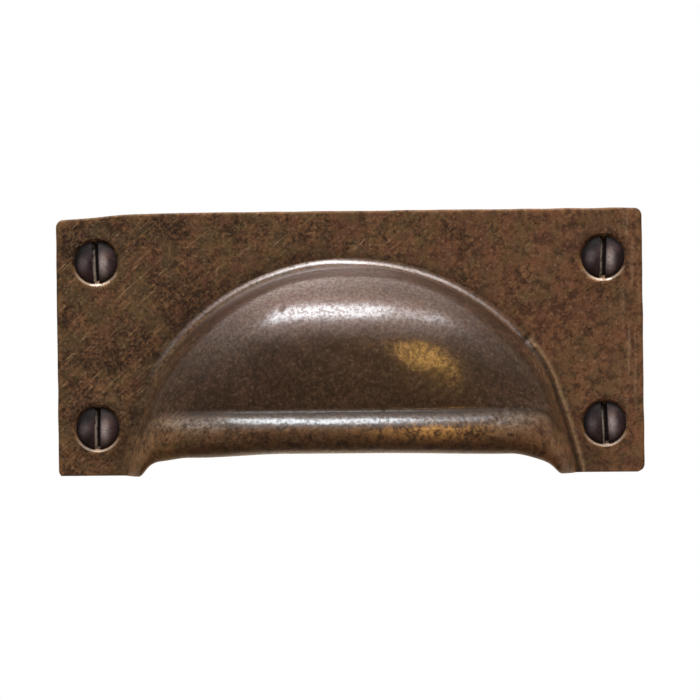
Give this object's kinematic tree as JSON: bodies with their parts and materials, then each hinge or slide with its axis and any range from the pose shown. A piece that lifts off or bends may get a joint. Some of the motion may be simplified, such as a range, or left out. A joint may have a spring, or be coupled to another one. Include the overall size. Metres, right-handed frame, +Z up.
{
  "type": "cup pull",
  "caption": "Hooded cup pull cast in one piece with a flat rectangular plate and a rolled lip, held to a drawer front by slotted raised countersunk wood screws.",
  "frame": {"origin": "centre of the screw pattern on the plate's back face, which is also the centre of the plate", "axes": "+X to the right as seen from the front, +Y into the drawer front, +Z up; the cup faces -Y and opens downwards"},
  "size_m": [0.092, 0.0348, 0.0414],
  "materials": {
    "patinated_casting": "dark brown patina, satin on the cup and duller on the plate",
    "browned_screws": "browned, satin"
  },
  "bodies": {
    "root": {"casting": "patinated_casting", "wood_screws": "browned_screws"}
  },
  "joints": []
}
